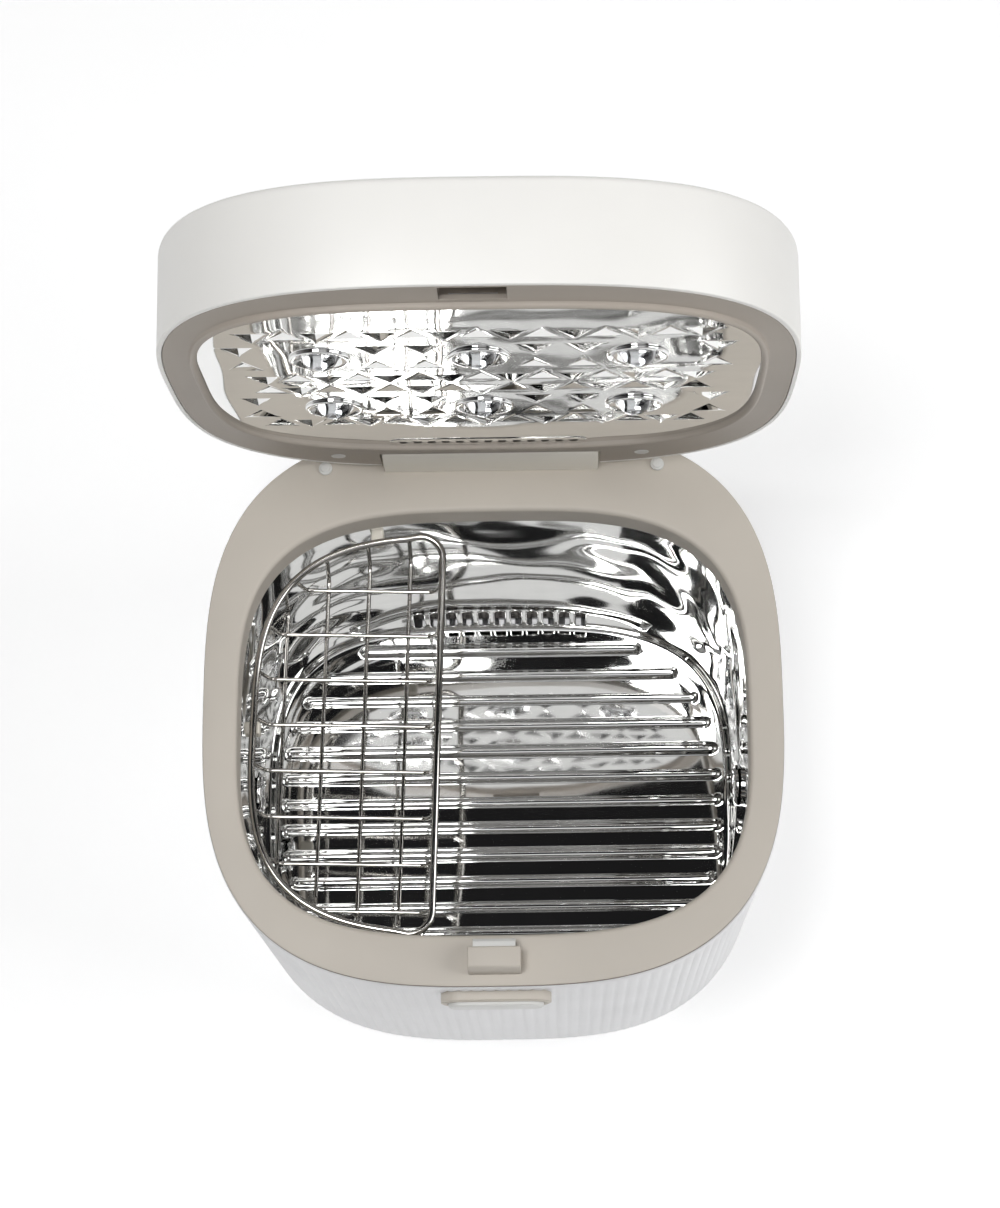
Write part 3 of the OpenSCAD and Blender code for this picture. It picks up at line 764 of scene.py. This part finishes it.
def rack():
    """Bright wire basket: a bent frame wire, and grid wires that hang from it."""
    inset, long_wires = 6, (-120, -97.5, -74.3, -51)
    cross_wires, first_y, pitch = 8, 75.8, 26.5
    turns = np.radians(np.arange(96, 265, 2))
    x, y = outline(turns, OPEN_A - inset, OPEN_B - inset, OPEN_N, OPEN_Y)
    edge = RACK_RIGHT - RACK_CORNER
    front, back = OPEN_Y - OPEN_B + inset + RACK_CORNER, OPEN_Y + OPEN_B - inset - RACK_CORNER
    path = [(px, py) for px, py in zip(x, y) if px < edge - 3]
    path += [*arc((edge, front), RACK_CORNER, 270, 360), *arc((edge, back), RACK_CORNER, 0, 90)]
    path = [(*p, RACK_Z) for p in path]
    wires("rack_frame_wire", [path], FRAME_WIRE, "rack_frame", AT_RACK, closed=True)
    top, low = RACK_Z - FRAME_WIRE / 2 - 0.9, RACK_Z - RACK_DROP
    lift = low + GRID_WIRE - 0.3
    grid_a, grid_b = OPEN_A - 5.5, OPEN_B - 5
    paths = []
    for x in long_wires:
        r = half_width(x, grid_a, grid_b, OPEN_N) - 1.5
        ends = ((r, top), (r - 6, low), (-r + 6, low), (-r, top))
        paths.append([(x, OPEN_Y + along, z) for along, z in ends])
    for i in range(cross_wires):
        y = first_y - pitch * i
        left = -half_width(y - OPEN_Y, grid_b, grid_a, OPEN_N) + 1.2
        ends = ((left, top), (left + 5, lift), (RACK_RIGHT - 5, lift), (RACK_RIGHT, top))
        paths.append([(x, y, z) for x, z in ends])
    wires("rack_grid_wires", [bent(p, 4) for p in paths], GRID_WIRE, "rack_grid", AT_RACK)


def side_lamps():
    """Chrome bezels and lenses in the tub's side walls."""
    wall_x = 139.4
    bezel = [(7.6, 0.4), (7.6, 1.4), (8.2, 2.2), (9.4, 2.5), (10.8, 2.2), (11.8, 1.3)]
    bezel += [(12, 0.4), (12, 0), (9.8, 0), (7.6, -3)]
    glass = lens(7.3, -2, 0.6, 2.4, 10) + [(0.2, 3.0)]
    rings, lenses = [], []
    for side in (-1, 1):
        spot = Matrix.Translation((side * wall_x, *SIDE_LAMP))
        turn = spot @ Matrix.Rotation(-side * math.pi / 2, 4, "Y")
        rings.append(moved(lathe(bezel), turn))
        lenses.append(moved(lathe(glass), turn))
    piece("side_lamp_rings", joined(rings), "side_lens_rings", angle=60)
    piece("side_lamp_lenses", joined(lenses), "side_lenses", angle=60)


def release_springs():
    """Two wound springs between the casing and the button."""
    node = "release_spring"
    low, high = extent(node)
    wire, turns, steps = 0.45, 6, 14
    radius, middle = (high.z - low.z) / 2, (high.z + low.z) / 2
    length = high.y - low.y - 2 * wire
    around = np.linspace(0, 2 * math.pi, 8, endpoint=False)
    along = np.array([0, 1, 0])
    coils = []
    for x in (low.x + radius, high.x - radius):
        rings = []
        for share in np.linspace(0, 1, turns * steps + 1):
            turn = 2 * math.pi * turns * share
            out = np.array([math.cos(turn), 0, math.sin(turn)])
            centre = np.array([x, low.y + wire + share * length, middle]) + (radius - wire) * out
            section = [math.cos(t) * out + math.sin(t) * along for t in around]
            rings.append(np.array([centre + wire * spoke for spoke in section]))
        coils.append(capped(rings))
    obj = mesh_object("release_springs", joined(coils), Matrix())
    smooth(obj.data, 60)
    obj.data.materials.append(MATERIALS[slot_of[node]])
    bodies = (frame["nodes"][name]["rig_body"] for name in (node, "release_button"))
    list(bodies)
    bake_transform(obj)
    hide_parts(node)


# ------------------------------------------------------------------ lid


def hinge_bore():
    """Cutter for the round well that turns about the hinge."""
    return prism(arc((HINGE.y, HINGE_H), WELL_R, 0, 352.5, 47), -WELL_HALF, WELL_HALF, "x")


def hinge_gap(start, low):
    """Cutter from this Y and Z to behind the lid, under the hinge's height."""
    return block((-WELL_HALF, start, low), (WELL_HALF, LID_BACK, HINGE_H))


def lid_shell():
    """Lid casing: a soft-edged cup, cut out for the hinge and the touch panel."""
    angles = even_angles(LID_A, LID_A, PLAN_N, PLAN_STEPS)
    top, inner_top, edge = LID_GAP + LID_H, 50, 0.7

    def level(inset, z):
        return ring(angles, LID_A - inset, LID_A - inset, PLAN_N, z)

    quarter = np.radians(np.linspace(0, 90, 9))
    rings = [level(WALL, inner_top), level(WALL, LID_GAP), level(edge, LID_GAP)]
    for t in quarter[2::2]:
        rings.append(level(edge - edge * math.sin(t), LID_GAP + edge - edge * math.cos(t)))
    rings += [level(5.5 * (1 - math.cos(t)), top - 4.5 * (1 - math.sin(t))) for t in quarter]
    half = extent("touch_panel")[1].x + 0.4
    recess = block((-half, -128, top - 1), (half, -86, top + 3))
    cutters = [hinge_bore(), hinge_gap(HINGE.y, 1), recess]
    piece("lid_band", capped(rings), "lid_shell", AT_LID, cutters, angle=40)


def lid_ring():
    """Ring that closes the lid's underside, its rim, the latch pocket and the hinge well."""
    angles = even_angles(LID_A, LID_A, PLAN_N, PLAN_STEPS)
    outer = LID_A - WALL - 0.3
    half = RIM_T / 2

    def plate(inset, z):
        return ring(angles, outer - inset, outer - inset, PLAN_N, z)

    def rim(inset, z):
        return ring(angles, RIM_A - inset, RIM_B - inset, OPEN_N, z, RIM_Y)

    crown = np.radians(np.linspace(0, 180, 13))
    rings = [plate(0, LID_GAP + 2.5), plate(0, LID_GAP + 0.3), plate(0.3, LID_GAP)]
    rings += [rim(-1.4, LID_GAP), rim(-0.4, LID_GAP - 0.4), rim(0, LID_GAP - 1.2)]
    rings += [rim(half - half * math.cos(t), RIM_CREST + half - half * math.sin(t)) for t in crown]
    rings += [rim(RIM_T, LID_GAP + 4), rim(0.5, LID_GAP + 4), rim(0, LID_GAP + 2.5)]
    pocket_half, pocket_front = 15.8, -155
    pocket = block((-pocket_half, pocket_front, -2), (pocket_half, -138, LID_GAP + 2.6))
    cutters = [hinge_bore(), hinge_gap(HINGE.y - 6, -3), pocket]
    piece("lid_ring_plate", loft(rings, closed=True), "lid_ring", AT_LID, cutters, angle=40)
    shell = block((-17.4, -156.2, LID_GAP + 0.6), (17.4, -131.8, LID_GAP + 14.6))
    low, high = (-pocket_half, pocket_front, LID_GAP + 0.7), (pocket_half, -133.3, LID_GAP + 13.2)
    piece("latch_pocket", shell, "lid_ring", AT_LID, [block(low, high), pocket])
    centre, start, end = (HINGE.y, HINGE_H), 95, 213
    outside = arc(centre, WELL_R + 2, start, end, 24)
    inside = arc(centre, WELL_R, end, start, 24)
    pin_hole = arc(centre, 7, end, start, 12)
    plate_shape = np.concatenate([outside, pin_hole])
    shapes = [prism(np.concatenate([outside, inside]), -WELL_HALF, WELL_HALF, "x")]
    for side in (-1, 1):
        shapes.append(prism(plate_shape, side * WELL_HALF, side * (WELL_HALF + 1.8), "x"))
    piece("hinge_well", joined(shapes), "lid_ring", AT_LID)


def reflector():
    """Mirror sheet with three-sided dimples in rows, holes for the lamps and a vent strip."""
    side, depth, pitch = 15.0, 1.8, 15.4
    soft_edge, edge_depth, squash = 2.8, 0.22, 0.94
    lamp_hole, grid_step = 13.2, 3.4
    strip_length, strip_width, strip_rim, strip_depth = 108, 12.8, 0.9, 0.45
    reach = side / math.sqrt(3)
    a, b = RIM_A - RIM_T - 0.2, RIM_B - RIM_T - 0.2
    dimples = []
    for y, first in ((-87, 1), (-17, 1), (2.5, -1), (62, -1)):
        for k in range(-8, 9):
            up = first * (1 if k % 2 == 0 else -1)
            dimples.append((k * pitch, y, up))
    for lamp_y, behind in ((LAMPS[0][1], 13.5), (LAMPS[-1][1], 10.5)):
        for x in (-116.5, -51, -27, 27, 51, 116.5):
            dimples.append((x, lamp_y - 14.5, -1))
            dimples.append((x, lamp_y + behind, 1))
    dimples = [d for d in dimples if in_oval(d[0], d[1], a - 13, b - 12, OPEN_N, RIM_Y) < 0.93]
    points, edges, marks = [], [], []

    def add_loop(shape):
        start = len(points)
        points.extend(Vector(p[:2]) for p in shape)
        edges.extend((start + k, start + (k + 1) % len(shape)) for k in range(len(shape)))

    angles = even_angles(a, b, OPEN_N, 220)
    add_loop(np.column_stack(outline(angles, a, b, OPEN_N, RIM_Y)))
    for x, y, up in dimples:
        for size in (reach + soft_edge, reach):
            corners = [
                (x + size * math.cos(t), y - up * size * math.sin(t) * squash)
                for t in np.radians((90, 210, 330))
            ]
            add_loop(corners)
        marks.append((x, y, corners))
    for lamp in LAMPS:
        add_loop(arc(lamp, lamp_hole, 0, 350, 35))
    for i in range(VENTS):
        add_loop(capsule(((i - VENTS // 2) * VENT_PITCH, VENT_Y), 4.6, 4.4, 6))
    for inset in (0, 2 * strip_rim):
        add_loop(capsule((0, VENT_Y), strip_length - inset, strip_width - inset, 12))
    for y in np.arange(-130, 112, grid_step):
        for x in np.arange(-138, 139, grid_step):
            if in_oval(x, y, a - 1.5, b - 1.5, OPEN_N, RIM_Y) < 1:
                points.append(Vector((x + (y * 7.3) % 1.1, y)))
    done = delaunay_2d_cdt(points, edges, [], 0, 1e-4)
    flat, faces = np.array([tuple(p) for p in done[0]]), done[2]

    def dimple_at(x, y):
        """Which dimple's triangle holds this point, if any."""
        for k, (cx, cy, corners) in enumerate(marks):
            if abs(x - cx) < side and abs(y - cy) < side:
                signs = [
                    (q[0] - p[0]) * (y - p[1]) - (q[1] - p[1]) * (x - p[0]) > 0
                    for p, q in zip(corners, corners[1:] + corners[:1])
                ]
                if all(signs) or not any(signs):
                    return k
        return None

    xs, ys = flat[:, 0], flat[:, 1]
    strip_r = strip_width / 2
    straight = strip_length / 2 - strip_r
    from_strip = np.hypot(np.clip(np.abs(xs) - straight, 0, None), ys - VENT_Y)
    strip = np.clip((strip_r - from_strip) / strip_rim, 0, 1)
    calm = np.clip((from_strip - strip_r) / 8, 0, 1)
    height = PLATE_Z - 0.5 * hills(31, 8, 110, 42)(xs, ys) * calm - strip_depth * strip
    kept = []
    sunk = set()
    for face in faces:
        x, y = flat[list(face)].mean(axis=0)
        lamp = any(math.hypot(x - lx, y - ly) < lamp_hole - 0.1 for lx, ly in LAMPS)
        from_vent = abs((x + VENT_PITCH / 2) % VENT_PITCH - VENT_PITCH / 2)
        vent = abs(y - VENT_Y) < 2.3 and abs(x) < 50 and from_vent < 2.35
        if in_oval(x, y, a, b, OPEN_N, RIM_Y) > 1 or lamp or vent:
            continue
        k = dimple_at(x, y)
        if k is None:
            kept.append(tuple(face))
        else:
            sunk.add(k)
    sheet = [tuple(p) for p in np.column_stack([flat, height])]
    index = {(round(p[0], 3), round(p[1], 3)): i for i, p in enumerate(sheet)}
    for _, _, corners in marks:
        for x, y in corners:
            i = index.get((round(x, 3), round(y, 3)))
            if i is not None:
                sheet[i] = (*sheet[i][:2], sheet[i][2] + edge_depth)
    for k in sorted(sunk):
        cx, cy, corners = marks[k]
        ids = [index.get((round(x, 3), round(y, 3))) for x, y in corners]
        if None in ids:
            continue
        base = float(np.mean([sheet[i][2] for i in ids]))
        apex = len(sheet)
        sheet.append((cx, cy, base + depth))
        kept += [(p, q, apex) for p, q in zip(ids, ids[1:] + ids[:1])]
    obj = mesh_object("reflector_sheet", (np.array(sheet), kept), AT_LID, mend=False)
    shape = bmesh.new()
    shape.from_mesh(obj.data)
    bmesh.ops.recalc_face_normals(shape, faces=shape.faces)
    bmesh.ops.delete(shape, geom=[v for v in shape.verts if not v.link_faces], context="VERTS")
    shape.to_mesh(obj.data)
    shape.free()
    finish_piece(obj, "reflector_plate", angle=14)


def lid_lamps():
    """Six lamps: a chrome bezel with a sloped inside, a clear dome, a bright dish, an emitter."""
    bezel = [(9.3, 6.5), (9.4, 3.9), (10.2, 3.2), (12.0, 2.3), (13.4, 1.85), (14.4, 1.9)]
    bezel += [(15.0, 2.3), (15.2, 3.0), (15.0, 3.4), (12.8, 3.6), (12.8, 7)]
    dome = lens(9.0, 6.8, 4.6, -7.4, 6)
    emitter = [(2.6, 7.4), (2.6, 7.0), (2.4, 6.9)]
    dish = [(9.0, 7.6), (9.0, 6.9), (3.0, 6.95), (2.7, 7.4)]
    for name, profile, node, material, stands in (
        ("lamp_bezels", bezel, "lens_rings", None, True),
        ("lamp_domes", dome, "lens_domes", None, True),
        ("lamp_dishes", dish, "lens_rings", LAMP_DISH, True),
        ("lamp_emitters", emitter, "lamp_board", LED_AMBER, False),
    ):
        shapes = [moved(lathe(profile), Matrix.Translation((x, y, 0))) for x, y in LAMPS]
        piece(name, joined(shapes), node, AT_LID, angle=50, material=material, stands_for=stands)


# ------------------------------------------------------------------ assembly

base_shell()
deck_ring()
steel_tub()
tub_floor()
slot_rims()
rack()
side_lamps()
release_springs()
lid_shell()
lid_ring()
reflector()
lid_lamps()
for node_name, edge_width in (
    ("latch_tower", 0.7),
    ("latch_tongue", 0.35),
    ("release_bezel", 0.5),
    ("release_button", 0.45),
    ("hinge_cover", 0.7),
    ("rack_pegs", 1.0),
    ("deck_bumpers", 0.4),
    ("lid_plugs", 0.3),
    ("inlet_grille", 0.4),
    ("power_inlet", 0.4),
    ("foot_ring", 0.6),
    ("touch_panel", 0.3),
):
    soften(node_name, node_name + "_soft", edge_width)


# ------------------------------------------------------------------ studio


def studio_floor():
    size = 9.0
    corners = [(-size, -size, 0), (size, -size, 0), (size, size, 0), (-size, size, 0)]
    mesh = bpy.data.meshes.new("studio_floor")
    mesh.from_pydata(corners, [], [(0, 1, 2, 3)])
    floor = bpy.data.objects.new("studio_floor", mesh)
    scene.collection.objects.link(floor)
    material = principled("studio_floor", (0.92, 0.92, 0.92), 0.7)
    mottle(material, noise(material, 3, 2), (0.91, 0.91, 0.91), (0.93, 0.93, 0.93))
    shader = material.node_tree.nodes["Principled BSDF"]
    shader.inputs["Emission Color"].default_value = (1, 1, 1, 1)
    shader.inputs["Emission Strength"].default_value = 0.32
    mesh.materials.append(material)


def softbox(name, at, target, width, height, power):
    light = bpy.data.lights.new(name, "AREA")
    light.shape = "RECTANGLE"
    light.size, light.size_y, light.energy = width, height, power
    obj = bpy.data.objects.new(name, light)
    obj.location = at
    obj.rotation_euler = (Vector(target) - Vector(at)).to_track_quat("-Z", "Y").to_euler()
    scene.collection.objects.link(obj)


def studio_walls():
    """Pale walls up to the height of the softboxes, and a dark ceiling above them."""
    world = bpy.data.worlds.new("studio")
    scene.world = world
    world.use_nodes = True
    nodes, links = world.node_tree.nodes, world.node_tree.links
    coords = nodes.new("ShaderNodeTexCoord")
    split = nodes.new("ShaderNodeSeparateXYZ")
    ramp = nodes.new("ShaderNodeValToRGB")
    links.new(coords.outputs["Generated"], split.inputs[0])
    links.new(split.outputs["Z"], ramp.inputs["Fac"])
    stops = ramp.color_ramp.elements
    stops[0].position, stops[0].color = 0.30, (0.90, 0.90, 0.91, 1)
    stops[1].position, stops[1].color = 0.62, (0.05, 0.05, 0.052, 1)
    links.new(ramp.outputs["Color"], nodes["Background"].inputs["Color"])
    nodes["Background"].inputs["Strength"].default_value = 0.23


def camera():
    """The photograph's viewpoint: high in front, looking down into the chamber."""
    elevation, azimuth, roll = (math.radians(v) for v in (73.07, -0.10, -0.73))
    target, distance = Vector((0.03984, 0.05347, DECK * MM)), 1.5277
    back = Vector((
        math.sin(azimuth) * math.cos(elevation),
        -math.cos(azimuth) * math.cos(elevation),
        math.sin(elevation),
    ))
    right = (-back).cross(Vector((0, 0, 1))).normalized()
    up = right.cross(-back)
    turned = right * math.cos(roll) + up * math.sin(roll)
    data = bpy.data.cameras.new("camera")
    data.lens = 81.95
    data.sensor_width = 36.0
    data.shift_x = -0.053
    obj = bpy.data.objects.new("camera", data)
    axes = Matrix((turned, back.cross(turned), back)).transposed()
    obj.matrix_world = Matrix.Translation(target + back * distance) @ axes.to_4x4()
    scene.collection.objects.link(obj)
    scene.camera = obj


studio_floor()
studio_walls()
softbox("softbox_overhead", (-0.46, -0.21, 2.3), (-0.46, -0.20, 0.0), 0.72, 0.74, 24.5)
softbox("softbox_high_front", (0.35, -0.75, 2.3), (0.35, -0.74, 0.0), 1.3, 0.8, 2.8)
softbox("softbox_right", (2.0, -0.2, 1.6), (0, 0, 0.2), 1.4, 1.6, 24)
softbox("softbox_front", (0.3, -2.0, 2.0), (0, 0, 0.2), 2.4, 1.0, 3)
softbox("softbox_back", (0.0, 1.9, 2.1), (0, 0, 0.2), 2.2, 0.8, 9)
scene.view_settings.view_transform = "Standard"
camera()
